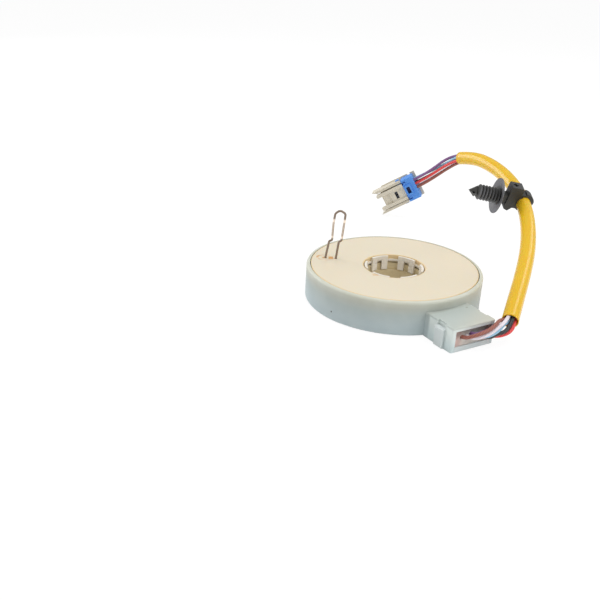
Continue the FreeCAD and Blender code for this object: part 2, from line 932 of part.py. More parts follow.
def terminal_lock():
    half = lock_width / 2
    bottom = connector_plate + lock_gap
    end = lock_length - lock_overhang
    body = box((-lock_overhang, -half, bottom), (end, half, lock_top))
    ridges = [
        edge for edge in body.Edges
        if edge.BoundBox.ZMin > lock_top - 1e-6 and edge.BoundBox.XMax < end - 1e-6
        or edge.BoundBox.ZMin > lock_top - 1e-6 and edge.BoundBox.XLength > 1e-6
    ]
    body = body.makeFillet(lock_round, ridges)
    frame_long, frame_across, frame_height = lock_frame
    window_long, window_across = lock_frame_window
    middle = end - lock_frame_setback - frame_long / 2
    raised = box(
        (middle - frame_long / 2, -frame_across / 2, lock_top - 0.5),
        (middle + frame_long / 2, frame_across / 2, lock_top + frame_height),
    )
    window = box(
        (middle - window_long / 2, -window_across / 2, lock_top - 1.0),
        (middle + window_long / 2, window_across / 2, lock_top + frame_height + 1),
    )
    pieces = [raised]
    cuts = [window]
    arm_inner = connector_body_width / 2 + 0.05
    arm_low = way_middle() - lock_arm_height / 2
    arm_high = way_middle() + lock_arm_height / 2
    reach = connector_body_width / 2 + rail_gap + rail_width + lock_nub_reach
    slot_long, slot_across, slot_depth = lock_slot
    slot_middle = (connector_body_width + rail_gap) / 2
    for side in (-1, 1):
        low, high = sorted((arm_inner * side, (arm_inner + lock_arm_width) * side))
        pieces.append(box((end - 0.5, low, arm_low), (lock_arm_end(), high, arm_high)))
        low, high = sorted((arm_inner * side, reach * side))
        pieces.append(box((lock_arm_end() - lock_nub, low, arm_low), (lock_arm_end(), high, arm_high)))
        low, high = sorted(((slot_middle - slot_across / 2) * side, (slot_middle + slot_across / 2) * side))
        cuts.append(box((end - slot_long, low, lock_top - slot_depth), (end + 1, high, lock_top + 1)))
        low, high = sorted(((slot_middle - lock_slot_arm) * side, slot_middle * side))
        cuts.append(box((end - slot_across, low, lock_top - slot_depth), (end + 1, high, lock_top + 1)))
    body = body.fuse(pieces).cut(cuts)
    holes = []
    for name in wire_names:
        across, through = way_centre(name)
        start = at(-lock_overhang - 1, across, through)
        holes.append(Part.makeCylinder(lock_wire_hole / 2, lock_length + 2, start, at(1, 0, 0)))
    body = body.cut(holes).removeSplitter()
    body.Placement = connector_frame()
    return body


# Fir-tree tie, drawn with its stem along +Z and the sleeve along +X, then moved to the sleeve.
def tie_strap(inner, outer):
    """The band round the sleeve and its free end, which lies on the band and runs to a point."""
    half = tie_strap_width / 2
    band = Part.makeCylinder(outer, tie_strap_width, at(-half, 0, 0), at(1, 0, 0))
    tail_outer = outer + tie_tail_thickness
    corners = [(-half, outer - 0.1, 0), (half, outer - 0.1, 0), (half, tail_outer, 0), (-half, tail_outer, 0)]
    section = Part.Face(outline(corners, lambda x, y: at(x, -y, 0)))
    tail = section.revolve(at(0, 0, 0), at(1, 0, 0), tie_tail_sweep)
    sweep = math.radians(tie_tail_sweep)
    end = -tail_outer * math.cos(sweep)
    tip = 0.35
    plan = [
        (-half - 1, -tail_outer - 1, 0),
        (half + 1, -tail_outer - 1, 0),
        (half + 1, end - tie_tail_point, 0),
        (half, end - tie_tail_point, 0),
        (tip, end + 1, 0),
        (-tip, end + 1, 0),
        (-half, end - tie_tail_point, 0),
        (-half - 1, end - tie_tail_point, 0),
    ]
    return [band, tail.common(slab(plan, -tail_outer - 1, 1))]


def tie_stem(foot):
    """The washer, the fins and the pointed end, with a foot on top of the head."""
    neck_top = foot + tie_neck_length
    rim = neck_top + washer_thickness + washer_dish
    stem_foot = neck_top + washer_thickness
    fins_end = stem_foot + stem_length - stem_tip_length
    profile = [
        (0, neck_top, 0),
        (stem_radius + 0.6, neck_top, 0),
        (washer_radius, rim - washer_thickness * 0.5, 0),
        (washer_radius, rim, 0),
        (stem_radius, stem_foot, 0),
    ]
    step = (fins_end - stem_foot - washer_dish) / fin_count
    for i in range(fin_count):
        root = stem_foot + washer_dish + step * (i + 0.8)
        profile += [
            (stem_radius, root, 0),
            (fin_radius, root - fin_sweep, 0),
            (fin_radius, root - fin_sweep + fin_thickness * 0.6, 0),
            (stem_radius, root + fin_thickness, 0),
        ]
    profile += [(stem_radius, fins_end + 0.5, 0), (0, fins_end + 0.5, 0)]
    half = stem_tip_width / 2
    end = at(0, 0, stem_foot + stem_length)
    corners = [at(half, 0, fins_end), at(0, half, fins_end), at(-half, 0, fins_end), at(0, -half, fins_end)]
    faces = [Part.Face(Part.makePolygon(corners + corners[:1]))]
    for a, b in zip(corners, corners[1:] + corners[:1]):
        faces.append(Part.Face(Part.makePolygon([a, b, end, a])))
    point = Part.makeSolid(Part.makeShell(faces))
    hole_start = at(-half, 0, fins_end + stem_tip_length * 0.34)
    hole = Part.makeCylinder(stem_tip_hole / 2, stem_tip_width, hole_start, at(1, 0, 0))
    return [turned(profile), point.cut(hole)]


def fir_tree_tie():
    inner = sleeve_diameter / 2 + tie_sleeve_gap
    outer = inner + tie_strap_thickness
    head_foot = outer + 0.3
    head_top = head_foot + tie_head_thickness
    top = -tie_head_height / 2 - tie_head_offset
    bottom = top + tie_head_height
    saddle = inner - 0.4
    head_corners = [
        (top, tie_lock_reach, 0.4),
        (top, head_top, 0.6),
        (bottom - 0.8, head_top, 0.5),
        (bottom, head_foot + tie_head_thickness * 0.45, 0.5),
        (bottom - 2.2, head_foot, 0.5),
        (saddle, head_foot - 0.2, 0.8),
        (saddle, inner * 0.5, 0),
        (-saddle, inner * 0.5, 0),
        (top + tie_lock_height, tie_lock_reach, 0),
    ]
    half = tie_head_width / 2
    head = Part.Face(outline(head_corners, lambda y, z: at(-half, y, z))).extrude(at(tie_head_width, 0, 0))
    cross_z = (tie_lock_reach + head_top) / 2 + 0.8
    size, arm = tie_cross_size / 2, tie_cross_arm / 2
    cross = [
        box((-size, top - 1, cross_z - arm), (size, top + tie_cross_depth, cross_z + arm)),
        box((-arm, top - 1, cross_z - size), (arm, top + tie_cross_depth, cross_z + size)),
    ]
    neck = tie_neck_width / 2
    neck_top = head_top + tie_neck_length
    pieces = tie_strap(inner, outer) + tie_stem(head_top)
    pieces.append(box((-neck, -neck, head_top - 0.5), (neck, neck, neck_top + 0.3)))
    bore = Part.makeCylinder(inner, 4 * tie_head_width, at(-2 * tie_head_width, 0, 0), at(1, 0, 0))
    tie = head.fuse(pieces).cut([bore] + cross).removeSplitter()
    start, end = at(*sleeve_route[tie_run_number]), at(*sleeve_route[tie_run_number + 1])
    along = (end - start).normalize()
    stem_axis = at(*tie_stem_axis)
    stem_axis = (stem_axis - along * stem_axis.dot(along)).normalize()
    across = stem_axis.cross(along)
    turn = FreeCAD.Rotation(along, across, stem_axis, "XYZ")
    tie.Placement = FreeCAD.Placement((start + end) * 0.5, turn)
    return tie


wires = []
for name in wire_names:
    wire, length, smallest = rod(wire_route(name), wire_diameter)
    wires.append(wire)
    write(wire, "wire_" + name)
    print("wire_" + name, "length", round(length, 1), "smallest radius", round(smallest, 1))
sleeve, length, smallest = yellow_sleeve()
print("yellow_sleeve length", round(length, 1), "smallest radius", round(smallest, 1))
write(sleeve, "yellow_sleeve")
write(housing_shell(), "housing_shell")
write(block_cover(), "block_cover")
write(output_rotor(), "output_rotor")
write(track_board(), "track_board")
write(input_rotor(), "input_rotor")
write(shaft_grip_ring(), "shaft_grip_ring")
write(wiper_carrier(), "wiper_carrier")
write(wiper_springs(), "wiper_springs")
write(ribbon_cable(), "ribbon_cable")
write(lock_pin()[0], "lock_pin")
write(Part.makeCompound(block_terminals()), "block_terminals")
write(terminal_comb(), "terminal_comb")
write(potting(wires), "potting")
write(connector_housing(), "connector_housing")
write(connector_terminals(), "connector_terminals")
write(terminal_lock(), "terminal_lock")
write(fir_tree_tie(), "fir_tree_tie")
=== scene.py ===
import bpy, bmesh, math
from mathutils import Matrix, Vector


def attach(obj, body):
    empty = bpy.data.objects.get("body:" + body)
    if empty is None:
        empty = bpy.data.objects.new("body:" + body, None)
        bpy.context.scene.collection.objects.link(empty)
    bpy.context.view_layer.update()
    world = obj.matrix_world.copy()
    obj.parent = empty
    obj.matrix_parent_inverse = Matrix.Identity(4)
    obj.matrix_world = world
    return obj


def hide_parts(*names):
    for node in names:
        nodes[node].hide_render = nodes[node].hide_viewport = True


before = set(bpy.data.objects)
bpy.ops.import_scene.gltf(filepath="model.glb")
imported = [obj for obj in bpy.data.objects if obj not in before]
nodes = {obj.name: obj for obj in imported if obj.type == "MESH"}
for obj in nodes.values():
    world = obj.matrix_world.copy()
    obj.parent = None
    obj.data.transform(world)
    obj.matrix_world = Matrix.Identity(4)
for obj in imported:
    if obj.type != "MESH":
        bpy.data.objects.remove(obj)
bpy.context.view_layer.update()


# Helpers for the materials: a Finish holds one material, and a Value is one socket of its nodes,
# so that a pattern can be written as a sum.

class Value:
    """A socket of a material's nodes that can stand in a sum."""

    def __init__(self, finish, socket):
        self.finish, self.socket = finish, socket

    def worked(self, operation, *others):
        return self.finish.node("Math", {"operation": operation}, self, *others)

    def __add__(self, other):
        return self.worked("ADD", other)

    def __sub__(self, other):
        return self.worked("SUBTRACT", other)

    def __mul__(self, other):
        return self.worked("MULTIPLY", other)

    def __truediv__(self, other):
        return self.worked("DIVIDE", other)

    def __pow__(self, other):
        return self.worked("POWER", other)

    def least(self, other):
        return self.worked("MINIMUM", other)

    def most(self, other):
        return self.worked("MAXIMUM", other)

    def size(self):
        return self.worked("ABSOLUTE")

    def wave(self):
        return self.worked("SINE")

    def step(self, low, high):
        """0 below low, 1 above high, smooth between."""
        smooth = {"interpolation_type": "SMOOTHSTEP"}
        return self.finish.node("MapRange", smooth, Value=self, From_Min=low, From_Max=high)


class Finish:
    """A material, with one Principled shader and short ways to add nodes to it."""

    def __init__(self, name, **shader_values):
        self.material = bpy.data.materials.new(name)
        self.material.use_nodes = True
        self.tree = self.material.node_tree
        self.shader = self.tree.nodes["Principled BSDF"]
        for socket_name, value in shader_values.items():
            self.feed(socket_name.replace("_", " "), value)
        place = self.tree.nodes.new("ShaderNodeTexCoord")
        self.place = Value(self, place.outputs["Object"])
        self.along_surface = Value(self, place.outputs["UV"])

    def node(self, kind, settings=None, *ordered, output=0, **named):
        """Any node: its settings are set first, then its inputs by order or by name."""
        node = self.tree.nodes.new("ShaderNode" + kind)
        for key, value in (settings or {}).items():
            if key == "stops":
                self.set_stops(node.color_ramp, value)
            else:
                setattr(node, key, value)
        inputs = list(enumerate(ordered))
        inputs += [(name.replace("_", " "), value) for name, value in named.items()]
        for key, value in inputs:
            self.link(node.inputs[key], value)
        return Value(self, node.outputs[output])

    def set_stops(self, ramp, stops):
        while len(ramp.elements) < len(stops):
            ramp.elements.new(0.5)
        for element, (position, color) in zip(ramp.elements, stops):
            element.position = position
            element.color = (*color, 1)

    def link(self, socket, value):
        if isinstance(value, Value):
            self.tree.links.new(value.socket, socket)
        elif socket.type == "RGBA" and len(value) == 3:
            socket.default_value = (*value, 1)
        else:
            socket.default_value = value

    def feed(self, name, value):
        self.link(self.shader.inputs[name], value)

    def noise(self, scale, detail=2.0, roughness=0.5):
        return self.node("TexNoise", None, Vector=self.place, Scale=scale, Detail=detail,
                         Roughness=roughness)

    def mix(self, share, first, second):
        """A colour between two colours, by a share from 0 to 1."""
        node = self.tree.nodes.new("ShaderNodeMix")
        node.data_type = "RGBA"
        for index, value in ((0, share), (6, first), (7, second)):
            self.link(node.inputs[index], value)
        return Value(self, node.outputs[2])

    def split(self, vector=None):
        """The X, Y and Z of a place, as three values."""
        node = self.tree.nodes.new("ShaderNodeSeparateXYZ")
        self.link(node.inputs[0], vector or self.place)
        return [Value(self, socket) for socket in node.outputs]

    def reach(self, spot):
        """How far a place on the piece is from a spot, in metres."""
        return self.node("VectorMath", {"operation": "DISTANCE"}, self.place, spot, output=1)

    def along(self, start, heading):
        """How far a place lies from a start, along a heading, in metres."""
        offset = self.node("VectorMath", {"operation": "SUBTRACT"}, self.place, start)
        return self.node("VectorMath", {"operation": "DOT_PRODUCT"}, offset, heading, output=1)

    def paint(self, scale, first, second, detail=2.0):
        """A plain colour that drifts between two shades."""
        self.feed("Base Color", self.mix(self.noise(scale, detail), first, second))

    def bump(self, height, distance, strength=1.0):
        normal = self.node("Bump", None, Height=height, Distance=distance, Strength=strength)
        self.feed("Normal", normal)


def dress(node_name, finish):
    """Gives a piece of the loaded model its finish."""
    slots = nodes[node_name].data.materials
    slots.clear()
    slots.append(finish.material)


def colour(red, green, blue):
    """A colour as it is seen, in steps of 255, turned into the light that shaders use."""
    shares = []
    for step in (red, green, blue):
        share = step / 255
        shares.append(share / 12.92 if share <= 0.04045 else ((share + 0.055) / 1.055) ** 2.4)
    return tuple(shares)


# Housing: a round cup with a hollow block at its side, one moulding in unfilled nylon.
# The nylon is milky and lets some light through. Its walls' colour is painted by height with light
# and shade: a painted shade darkest at mid height, painted floor light that makes the bottom bluish
# and lighter, and painted light from above that makes the rim greener and lighter. It has a gate
# mark on the block and a speck in its wall.

housing_height = 0.015
milky = Finish("milky nylon", Subsurface_Weight=0.35, Subsurface_Radius=(1.0, 1.0, 1.0),
               Subsurface_Scale=0.0015, Specular_IOR_Level=0.4)
across, along, height = milky.split()
cloud = milky.noise(60.0, 3.0)
# Painted light and shade on the walls, by height: darkest at mid height, lighter to the bottom and
# the rim.
wall_shade_stops = [
    (0.0, colour(182, 196, 199)),
    (0.3, colour(176, 189, 191)),
    (0.6, colour(170, 181, 178)),
    (0.8, colour(180, 183, 172)),
    (0.93, colour(194, 195, 181)),
    (1.0, colour(208, 209, 194)),
]
body_colour = milky.node("ValToRGB", {"stops": wall_shade_stops}, height / housing_height)
body_colour = milky.mix(cloud.step(0.35, 0.75) * 0.25, body_colour, colour(214, 220, 216))
on_block = across.step(0.0396, 0.0412)
far_corner = (across - 0.047 + along * 0.6).step(-0.004, 0.013)
block_side = milky.mix(height.step(0.001, 0.009), colour(206, 220, 220), colour(224, 232, 228))
block_top = milky.mix(far_corner, colour(188, 197, 192), colour(200, 200, 188))
block_colour = milky.mix(height.step(0.0096, 0.0105), block_side, block_top)
body_colour = milky.mix(on_block, body_colour, block_colour)
speck = milky.reach((0.0093, -0.0382, 0.0039)).step(0.0005, 0.00025)
body_colour = milky.mix(speck, body_colour, colour(70, 70, 75))
gate = milky.reach((0.0413, 0.0074, 0.0107)).step(0.0007, 0.0004)
body_colour = milky.mix(gate * 0.6, body_colour, colour(150, 152, 135))
milky.feed("Base Color", body_colour)
milky.feed("Roughness", milky.noise(300.0, 2.0) * 0.12 + 0.38)
milky.bump(milky.noise(900.0, 3.0), 0.00004, 0.5)
dress("housing_shell", milky)


# Block cover: a plate pushed up into the block from below, in the same nylon.
# Its two straps run up the block's sides and snap over a wedge, so it comes off without tools.

clear_nylon = Finish("strap nylon", Roughness=0.4, Subsurface_Weight=0.35,
                     Subsurface_Radius=(1.0, 1.0, 1.0), Subsurface_Scale=0.0012)
clear_nylon.paint(90.0, colour(206, 215, 215), colour(216, 223, 222))
clear_nylon.bump(clear_nylon.noise(1000.0), 0.00003, 0.5)
dress("block_cover", clear_nylon)


# Output rotor: hub, flange and collar, one moulding in cream plastic, painted a darker olive-cream
# as painted shade, for it sits deep in the housing's bore.
# The lower shaft of the column is pressed into its bore. It hangs in the housing by four hooks.

rotor_plastic = Finish("rotor plastic", Roughness=0.5)
# Painted shade: the cream plastic is painted darker and more olive.
rotor_plastic.paint(120.0, colour(200, 184, 146), colour(214, 198, 160), detail=3.0)
rotor_plastic.bump(rotor_plastic.noise(700.0), 0.00004, 0.5)
dress("output_rotor", rotor_plastic)


# Track board: a ring of green laminate with four dark sliding tracks, hidden under the disc.

track_radii = (0.0196, 0.0236, 0.0276, 0.0316)
board_finish = Finish("track board", Roughness=0.35)
across, along, height = board_finish.split()
radius = (across * across + along * along) ** 0.5
tracks = None
for track_radius in track_radii:
    band = (radius - track_radius).size().step(0.0013, 0.0011)
    tracks = band if tracks is None else tracks.most(band)
laminate = board_finish.mix(board_finish.noise(200.0), colour(28, 92, 52), colour(38, 108, 62))
board_finish.feed("Base Color", board_finish.mix(tracks, laminate, colour(38, 38, 42)))
board_finish.feed("Roughness", tracks * 0.2 + 0.3)
dress("track_board", board_finish)


# Input rotor: the cream disc that closes the cup, moulded in acetal, smooth and a little shiny.
# It turns with the upper shaft. Its edges let light through and look warmer than its face; the
# warmer, darker band along its rim and round its hole is partly that and partly painted shade.

cream = Finish("cream acetal", Subsurface_Weight=0.2, Subsurface_Radius=(1.0, 0.7, 0.4),
               Subsurface_Scale=0.001)
across, along, height = cream.split()
radius = (across * across + along * along) ** 0.5
face_colour = cream.mix(cream.noise(25.0, 4.0, 0.55), colour(227, 216, 191), colour(232, 221, 199))
# A warmer, darker band along the rim and round the hole: partly light let through the edges, partly
# painted shade.
warm_edge_and_shade = radius.step(0.0366, 0.0374).most(radius.step(0.0146, 0.0138))
face_colour = cream.mix(warm_edge_and_shade * 0.8, face_colour, colour(230, 202, 150))

# Marks on the disc's face: a broken ring round one hole of the lock pin, which is strongest on the
# side away from the disc's middle, a spot between the pin's holes and a short bar by the disc's
# own hole.
mark_heading = (0.5, 0.87)


def bar_mark(spot, half_length, half_width):
    """1 on a short bar along the marks' heading, 0 off it, by where its edges fade."""
    off_x, off_y = across - spot[0], along - spot[1]
    ahead = (off_x * mark_heading[0] + off_y * mark_heading[1]).size()
    aside = (off_x * mark_heading[1] - off_y * mark_heading[0]).size()
    return ahead.step(*half_length) * aside.step(*half_width)


ring_mark_radius = 0.0031
ring_line = (cream.reach((-0.0213, -0.0239, housing_height)) - ring_mark_radius).size()
ring_line = ring_line.step(0.0008, 0.0003)
outwards = across * -mark_heading[0] - along * mark_heading[1]
outer_half = (outwards - 0.0315).step(-0.001, 0.003)
marks = ring_line * (outer_half * 0.6 + 0.25) * cream.noise(420.0, 1.0).step(0.36, 0.5)
marks = marks.most(bar_mark((-0.0197, -0.0212), (0.0014, 0.0007), (0.0019, 0.0010)))
round_hole = cream.reach((-0.0212, -0.0240, housing_height)).step(0.0012, 0.0006)
marks = marks.most(round_hole * 0.8)
marks = marks.most(bar_mark((0.0054, -0.0139), (0.0016, 0.0010), (0.0010, 0.0004)) * 0.6)
on_top = height.step(0.0146, 0.0148)
cream.feed("Base Color", cream.mix(marks * on_top, face_colour, colour(216, 160, 92)))
cream.feed("Roughness", cream.noise(150.0, 3.0) * 0.1 + 0.27)
cream.bump(cream.noise(1400.0, 2.0), 0.00002, 0.4)
dress("input_rotor", cream)


# Grip ring: six springy fingers on a collar, one moulding in pale acetal.
# The fingers press on the upper shaft and carry it round with the disc.

pale_acetal = Finish("grip ring acetal", Subsurface_Weight=0.2, Subsurface_Radius=(1.0, 0.9, 0.7),
                     Subsurface_Scale=0.0008)
pale_acetal.paint(180.0, colour(222, 214, 200), colour(243, 238, 228), detail=3.0)
pale_acetal.feed("Roughness", pale_acetal.noise(250.0) * 0.15 + 0.35)
pale_acetal.bump(pale_acetal.noise(900.0, 2.0), 0.00003, 0.5)
dress("shaft_grip_ring", pale_acetal)


# Wipers: four leaf springs in gilt bronze on a small carrier plate, hidden under the disc.
# They slide on the board's tracks and read the twist between the two shafts.

carrier_plastic = Finish("carrier plastic", Roughness=0.5)
carrier_plastic.paint(150.0, colour(60, 60, 62), colour(72, 72, 74))
dress("wiper_carrier", carrier_plastic)

gilt_bronze = Finish("gilt bronze", Metallic=1.0)
gilt_bronze.paint(400.0, colour(205, 170, 100), colour(220, 188, 118))
gilt_bronze.feed("Roughness", gilt_bronze.noise(600.0) * 0.2 + 0.2)
dress("wiper_springs", gilt_bronze)


# Ribbon cable: flat copper tracks between two films, wound in a spiral round the hub.
# It links the turning board to the still terminals.

ribbon_film = Finish("ribbon film", Roughness=0.3)
across, along, height = ribbon_film.split()
track_pitch = 0.0008
copper_line = (height * 2 * math.pi / track_pitch).wave().step(0.0, 0.5)
ribbon_colour = ribbon_film.mix(copper_line, colour(205, 190, 150), colour(190, 120, 70))
ribbon_film.feed("Base Color", ribbon_colour)
dress("ribbon_cable", ribbon_film)


# Lock pin: bent spring steel wire, dark from drawing, with bright scuffs along its upper legs and
# painted glints, bright painted highlights, round its two bends.
# It stands in two holes of the disc and is pulled out once the sensor is on the column.

drawn_steel = Finish("drawn steel", Metallic=1.0)
across, along, height = drawn_steel.split()
worn = height.step(0.0243, 0.0250) * height.step(0.0343, 0.0336)
# Painted highlights: bright glints painted round the wire at its two bends.
low_bend_glint = (height - 0.0254).size().step(0.0008, 0.0003)
high_bend_glint = (height - 0.0330).size().step(0.0009, 0.0003)
# The bright colour mixes wear on the upper legs with the painted glints at the bends.
scuff_and_glint = worn * (drawn_steel.noise(350.0, 2.0) * 0.5 + 0.2) + low_bend_glint.most(high_bend_glint) * 0.5
steel_colour = drawn_steel.mix(scuff_and_glint.least(1.0), colour(152, 136, 124), colour(252, 238, 224))
drawn_steel.feed("Base Color", steel_colour)
drawn_steel.feed("Roughness", scuff_and_glint * -0.1 + 0.42)
drawn_steel.bump(drawn_steel.noise(1500.0, 3.0), 0.00004, 0.6)
dress("lock_pin", drawn_steel)


# Block terminals, their comb and the potting. The terminals are tinned strips, the comb is a
# pale bar, and the potting is clear resin that was poured round the wires and set with a
# slightly sunken, wavy face.

tinned = Finish("tinned strip", Metallic=1.0)
tinned.paint(500.0, colour(196, 194, 188), colour(214, 213, 208))
tinned.feed("Roughness", tinned.noise(700.0) * 0.2 + 0.25)
dress("block_terminals", tinned)

comb_plastic = Finish("comb plastic", Roughness=0.5)
comb_plastic.paint(200.0, colour(210, 218, 218), colour(198, 207, 208))
dress("terminal_comb", comb_plastic)

resin = Finish("clear resin", Roughness=0.12, IOR=1.5, Coat_Weight=0.5, Coat_Roughness=0.08,
               Subsurface_Weight=0.3, Subsurface_Radius=(1.0, 0.9, 0.8), Subsurface_Scale=0.001)
across, along, height = resin.split()
blush = along.step(-0.0042, -0.0078).most(along.step(0.0048, 0.0078) * height.step(0.004, 0.0065))
resin_colour = resin.mix(resin.noise(420.0, 3.0), colour(222, 212, 202), colour(246, 238, 228))
resin.feed("Base Color", resin.mix(blush * 0.5, resin_colour, colour(214, 150, 140)))
resin.feed("Alpha", resin.noise(500.0, 2.0) * 0.35 + height.step(0.0078, 0.0045) * 0.4 + 0.2)
resin.bump(resin.noise(420.0, 3.0), 0.0004, 0.8)
dress("potting", resin)


# Wires: six stranded copper wires with thin coloured coverings, soldered to the terminals and
# crimped in the connector. Between them they run through the sleeve, twisted half a turn.
# The points of the routes are in millimetres and steer smooth lines, as in the part's source.

sleeve_route = [
    (55.4, 18.6, 8.4),
    (51.4, 23.5, 10.2),
    (44.1, 32.6, 13.4),
    (36.7, 41.8, 16.7),
    (26.0, 54.3, 21.5),
    (14.1, 65.8, 26.7),
    (0.8, 75.9, 31.8),
    (-13.1, 83.6, 36.0),
    (-28.6, 89.1, 39.5),
    (-44.3, 92.3, 41.5),
    (-59.1, 93.8, 41.4),
    (-69.4, 93.5, 38.7),
]
wire_diameter = 0.00155
wire_pitch = 2.3
wire_levels = {"brown": 5.9, "white": 6.0, "violet": 6.6, "blue": 5.5, "black": 5.5, "red": 5.5}
wire_ends = (51.4, 55.8)

# In the sleeve one wire runs in the middle (place 0) and the others on a ring round it (places 1
# to 6), and the whole ring turns as it goes.
ring_radius = 1.98
ring_twist = -166.0
ring_start = (-0.77, -0.64, 0.06)
ring_places = {
    "violet": (1, 1, 1, 1, 1, 1, 1, 1, 1, 1, 1, 1),
    "blue": (0, 0, 2, 2, 2, 2, 2, 2, 2, 2, 2, 2),
    "red": (3, 3, 3, 3, 3, 3, 3, 3, 3, 3, 3, 3),
    "black": (4, 4, 4, 0, 0, 6, 6, 6, 6, 6, 6, 6),
    "white": (5, 5, 5, 5, 4, 4, 0, 0, 5, 5, 5, 5),
    "brown": (6, 6, 6, 6, 5, 5, 5, 4, 4, 4, 4, 4),
}
block_side_route = {
    "brown": [(58.2, -2.4, 7.5), (59.3, 2.4, 8.9), (58.6, 7.2, 10.0), (55.8, 12.2, 10.4)],
    "white": [(57.9, -0.7, 5.9), (59.2, 2.6, 7.0), (59.0, 6.0, 7.7), (58.3, 9.3, 8.6),
              (57.7, 13.0, 9.9)],
    "violet": [(57.0, 1.5, 7.2), (56.9, 6.0, 7.7), (56.1, 11.0, 7.9)],
    "blue": [(58.1, 3.7, 5.7), (58.5, 7.2, 6.4), (58.0, 10.8, 7.3), (56.8, 13.6, 8.5)],
    "black": [(57.7, 6.5, 4.4), (57.6, 10.0, 5.4), (59.1, 13.6, 6.4)],
    "red": [(56.1, 9.2, 3.9), (57.8, 12.6, 4.1), (59.2, 16.2, 5.9)],
}
connector_side_route = {
    "violet": [(-77.5, 90.5, 36.9), (-82.1, 84.4, 29.8)],
    "blue": [(-77.5, 90.2, 33.8), (-84.1, 86.0, 28.5)],
    "red": [(-76.0, 88.8, 33.2), (-81.3, 84.3, 27.2)],
    "brown": [(-75.7, 90.6, 31.5), (-80.6, 85.5, 25.4)],
    "white": [(-76.7, 92.8, 32.1), (-82.3, 87.6, 25.6)],
    "black": [(-77.3, 93.5, 34.4), (-83.1, 88.1, 27.6)],
}
connector_place = Vector((-91.85, 81.2, 19.2))
connector_along = Vector((-0.546, -0.653, -0.525)).normalized()
connector_across = Vector((0.353, 0.387, -0.852))
connector_across -= connector_along * connector_across.dot(connector_along)
connector_across.normalize()
connector_through = connector_along.cross(connector_across)
ways_in_row = 4
way_pitch = 2.35
way_level = 4.6
way_row_offset = 1.45
wire_in_connector = (-4.5, 7.45)
wire_ways = {
    "violet": (1, 0), "red": (1, 1), "brown": (1, 2),
    "blue": (-1, 0), "black": (-1, 1), "white": (-1, 2),
}


def in_connector(along_it, across_it, through_it):
    return (connector_place + connector_along * along_it + connector_across * across_it
            + connector_through * through_it)


def through_sleeve(places):
    """The sleeve's route moved to a wire's places round its middle."""
    route = [Vector(p) for p in sleeve_route]
    runs = [(b - a).normalized() for a, b in zip(route, route[1:])]
    first = Vector(ring_start)
    seams = [(first - runs[0] * first.dot(runs[0])).normalized()]
    for before, after in zip(runs, runs[1:]):
        seams.append(before.rotation_difference(after) @ seams[-1])
    moved = []
    for i, here in enumerate(route):
        run, seam = runs[max(i - 1, 0)], seams[max(i - 1, 0)]
        if places[i] == 0:
            moved.append(here)
            continue
        angle = math.radians(60 * places[i] + ring_twist * i / (len(route) - 1))
        offset = (seam * math.cos(angle) - run.cross(seam) * math.sin(angle)) * ring_radius
        if 0 < i < len(route) - 1:
            ahead = runs[i]
            axis = run.cross(ahead).normalized()
            side = axis.cross(run)
            share = offset.dot(side) / (1 + run.dot(ahead))
            offset = axis * offset.dot(axis) + (side + axis.cross(ahead)) * share
        moved.append(here + offset)
    return moved


def smooth_line(name, points):
    """The points of a smooth line that a route in millimetres steers, in metres."""
    curve = bpy.data.curves.new(name, "CURVE")
    curve.dimensions = "3D"
    curve.resolution_u = 14
    spline = curve.splines.new("NURBS")
    spline.points.add(len(points) - 1)
    for steered, point in zip(spline.points, points):
        steered.co = (*(c / 1000 for c in point), 1)
    spline.order_u = 3
    spline.use_endpoint_u = True
    holder = bpy.data.objects.new(name, curve)
    line = [v.co.copy() for v in bpy.data.meshes.new_from_object(holder).vertices]
    bpy.data.objects.remove(holder)
    return line


def tube(name, centres, radius, sides=20, bore=None):
    """A tube along a line, open through its bore, with its surface's own map: once round, and
    along in metres."""
    runs = [(b - a).normalized() for a, b in zip(centres, centres[1:])]
    runs = [runs[0]] + [(a + b).normalized() for a, b in zip(runs, runs[1:])] + [runs[-1]]
    seam = runs[0].orthogonal().normalized()
    shape = bmesh.new()
    map_layer = shape.loops.layers.uv.new("surface")
    walls = []
    lengths = [0.0]
    for a, b in zip(centres, centres[1:]):
        lengths.append(lengths[-1] + (b - a).length)
    for size in [radius] + ([bore] if bore else []):
        rings = []
        turned_seam = seam
        for i, (here, run) in enumerate(zip(centres, runs)):
            if i:
                turned_seam = runs[i - 1].rotation_difference(run) @ turned_seam
            side = run.cross(turned_seam)
            ring = []
            for k in range(sides):
                angle = 2 * math.pi * k / sides
                spoke = turned_seam * math.cos(angle) + side * math.sin(angle)
                ring.append(shape.verts.new(here + spoke * size))
            rings.append(ring)
        walls.append(rings)
    for w, rings in enumerate(walls):
        for i in range(len(rings) - 1):
            for k in range(sides):
                nxt = (k + 1) % sides
                loop = [rings[i][k], rings[i][nxt], rings[i + 1][nxt], rings[i + 1][k]]
                spots = [(k, i), (k + 1, i), (k + 1, i + 1), (k, i + 1)]
                if w:
                    loop.reverse()
                    spots.reverse()
                face = shape.faces.new(loop)
                face.smooth = True
                for corner, (u, v) in zip(face.loops, spots):
                    corner[map_layer].uv = (u / sides, lengths[v])
    for end, flip in ((0, True), (-1, False)):
        outer = walls[0][end]
        if bore:
            inner = walls[1][end]
            for k in range(sides):
                nxt = (k + 1) % sides
                loop = [outer[k], outer[nxt], inner[nxt], inner[k]]
                shape.faces.new(loop[::-1] if not flip else loop)
        else:
            shape.faces.new(outer[::-1] if flip else outer)
    bmesh.ops.recalc_face_normals(shape, faces=shape.faces)
    mesh = bpy.data.meshes.new(name)
    shape.to_mesh(mesh)
    shape.free()
    piece = bpy.data.objects.new(name, mesh)
    bpy.context.scene.collection.objects.link(piece)
    return piece


